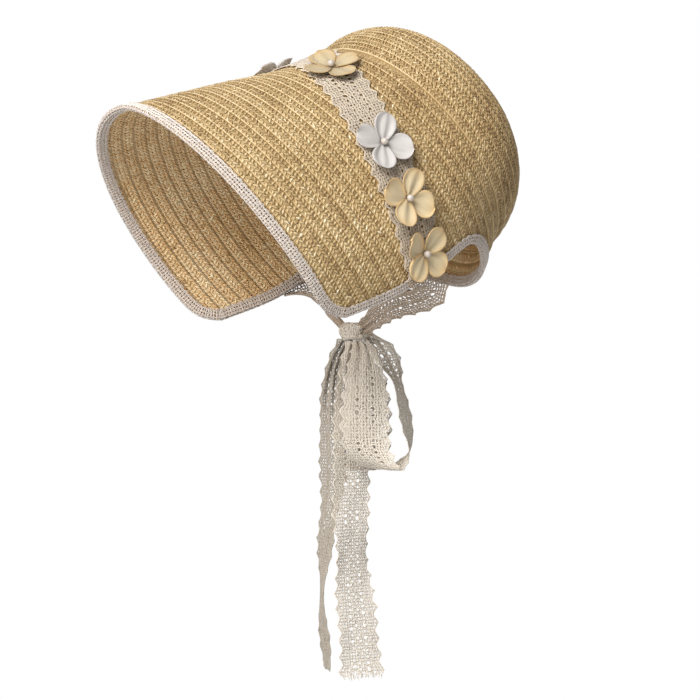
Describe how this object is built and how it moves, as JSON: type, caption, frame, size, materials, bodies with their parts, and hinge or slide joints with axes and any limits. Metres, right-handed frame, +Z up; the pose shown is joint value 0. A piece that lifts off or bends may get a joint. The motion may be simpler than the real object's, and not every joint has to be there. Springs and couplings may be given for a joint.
{
  "type": "poke bonnet",
  "caption": "Plaited straw bonnet with a deep forward brim and closed crown, lace edging, lace ribbon with cloth flowers and pearls, and a ribbon bow tied under the chin.",
  "frame": {"origin": "inside top of the crown, where the bonnet sits on the head", "axes": "+Z up, -Y out of the face opening, +X to the wearer's left"},
  "size_m": [0.2004, 0.285, 0.428],
  "materials": {
    "straw": "golden wheat-straw plait with glossy highlights",
    "edging": "off-white folded cotton lace",
    "lace": "beige-cream openwork cotton lace",
    "cream_petal": "cream-yellow creased cloth petal",
    "white_petal": "cool white creased cloth petal",
    "pearl": "glossy pearl"
  },
  "bodies": {
    "root": {"crown": "straw", "brim": "straw", "front_binding": "edging", "neck_binding": "edging", "lace_band": "lace", "tie_left": "lace", "tie_right": "lace", "bow_knot": "lace", "bow_loop_left": "lace", "bow_loop_right": "lace", "bow_tail_left": "lace", "bow_tail_right": "lace", "flower_1": "cream_petal", "flower_2": "cream_petal", "flower_3": "white_petal", "flower_4": "cream_petal", "flower_5": "white_petal", "flower_6": "cream_petal", "flower_7": "white_petal", "flower_8": "cream_petal", "pearl_1": "pearl", "pearl_2": "pearl", "pearl_3": "pearl", "pearl_4": "pearl", "pearl_5": "pearl", "pearl_6": "pearl", "pearl_7": "pearl", "pearl_8": "pearl"}
  },
  "joints": []
}
